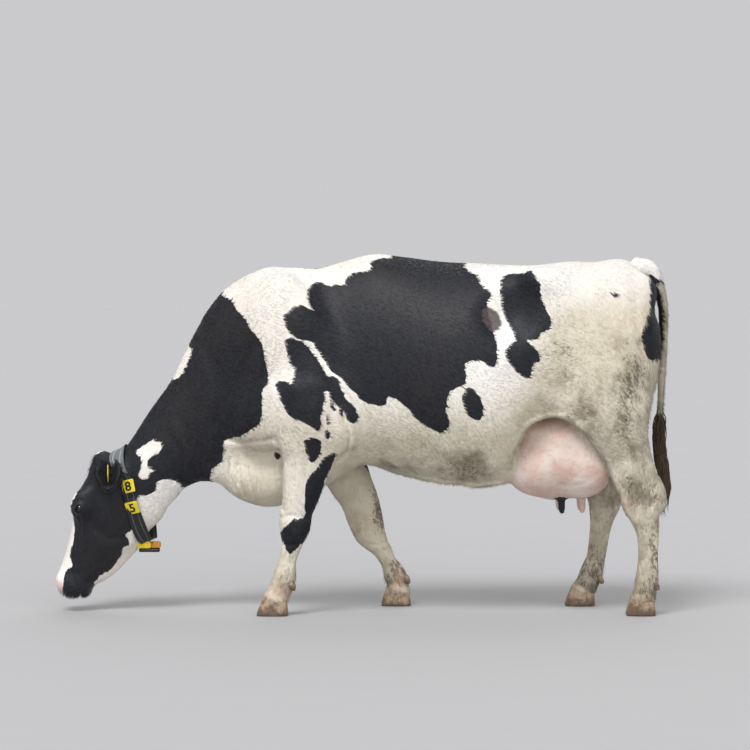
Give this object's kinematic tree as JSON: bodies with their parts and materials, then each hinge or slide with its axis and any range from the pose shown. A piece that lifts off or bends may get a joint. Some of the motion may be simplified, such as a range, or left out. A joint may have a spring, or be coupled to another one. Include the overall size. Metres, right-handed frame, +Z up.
{
  "type": "cow",
  "caption": "Life-size grazing dairy cow in mid stride, black and white, with her head down, a full udder, a number collar and ear tags.",
  "frame": {"origin": "centre of the footprint's bounding box, on the floor under the cow", "axes": "+X from the muzzle to the tail, -Y out of the cow's left side, +Z up"},
  "size_m": [2.5801, 0.7341, 1.4879],
  "materials": {
    "black_coat": "short flat black hair with a soft bluish sheen",
    "white_coat": "short flat cream-white hair, stained grey-brown low down",
    "pink_skin": "bare pink skin with fine veins",
    "tail_hair": "long dirty brown hair in loose locks",
    "eyeball": "wet dark brown eye",
    "hoof": "worn brown horn with growth rings, muddy",
    "webbing": "black woven nylon webbing",
    "grey_webbing": "grey woven webbing, worn silvery",
    "yellow_plastic": "yellow moulded plastic",
    "orange_plastic": "orange-brown moulded plastic",
    "black_plastic": "black moulded plastic"
  },
  "bodies": {
    "root": {"head": "black_coat", "lower_jaw": "white_coat", "neck": "black_coat", "trunk": "white_coat", "udder": "pink_skin", "tail": "white_coat", "tail_switch": "tail_hair", "ear_left": "black_coat", "ear_right": "black_coat", "eye_left": "eyeball", "eye_right": "eyeball", "foreleg_left": "white_coat", "foreleg_right": "white_coat", "hindleg_left": "white_coat", "hindleg_right": "white_coat", "claw_fore_left_outer": "hoof", "dewclaw_fore_left_outer": "hoof", "claw_fore_left_inner": "hoof", "dewclaw_fore_left_inner": "hoof", "claw_fore_right_outer": "hoof", "dewclaw_fore_right_outer": "hoof", "claw_fore_right_inner": "hoof", "dewclaw_fore_right_inner": "hoof", "claw_hind_left_outer": "hoof", "dewclaw_hind_left_outer": "hoof", "claw_hind_left_inner": "hoof", "dewclaw_hind_left_inner": "hoof", "claw_hind_right_outer": "hoof", "dewclaw_hind_right_outer": "hoof", "claw_hind_right_inner": "hoof", "dewclaw_hind_right_inner": "hoof", "teat_fore_left": "pink_skin", "teat_fore_right": "pink_skin", "teat_rear_left": "pink_skin", "teat_rear_right": "pink_skin", "collar_strap": "webbing", "collar_sleeve": "grey_webbing", "answering_box": "yellow_plastic", "answering_box_end": "orange_plastic", "collar_weight": "black_plastic", "ear_tag_left": "yellow_plastic", "number_plate_left_1": "yellow_plastic", "number_plate_left_2": "yellow_plastic", "ear_tag_right": "yellow_plastic", "number_plate_right_1": "yellow_plastic", "number_plate_right_2": "yellow_plastic"}
  },
  "joints": []
}
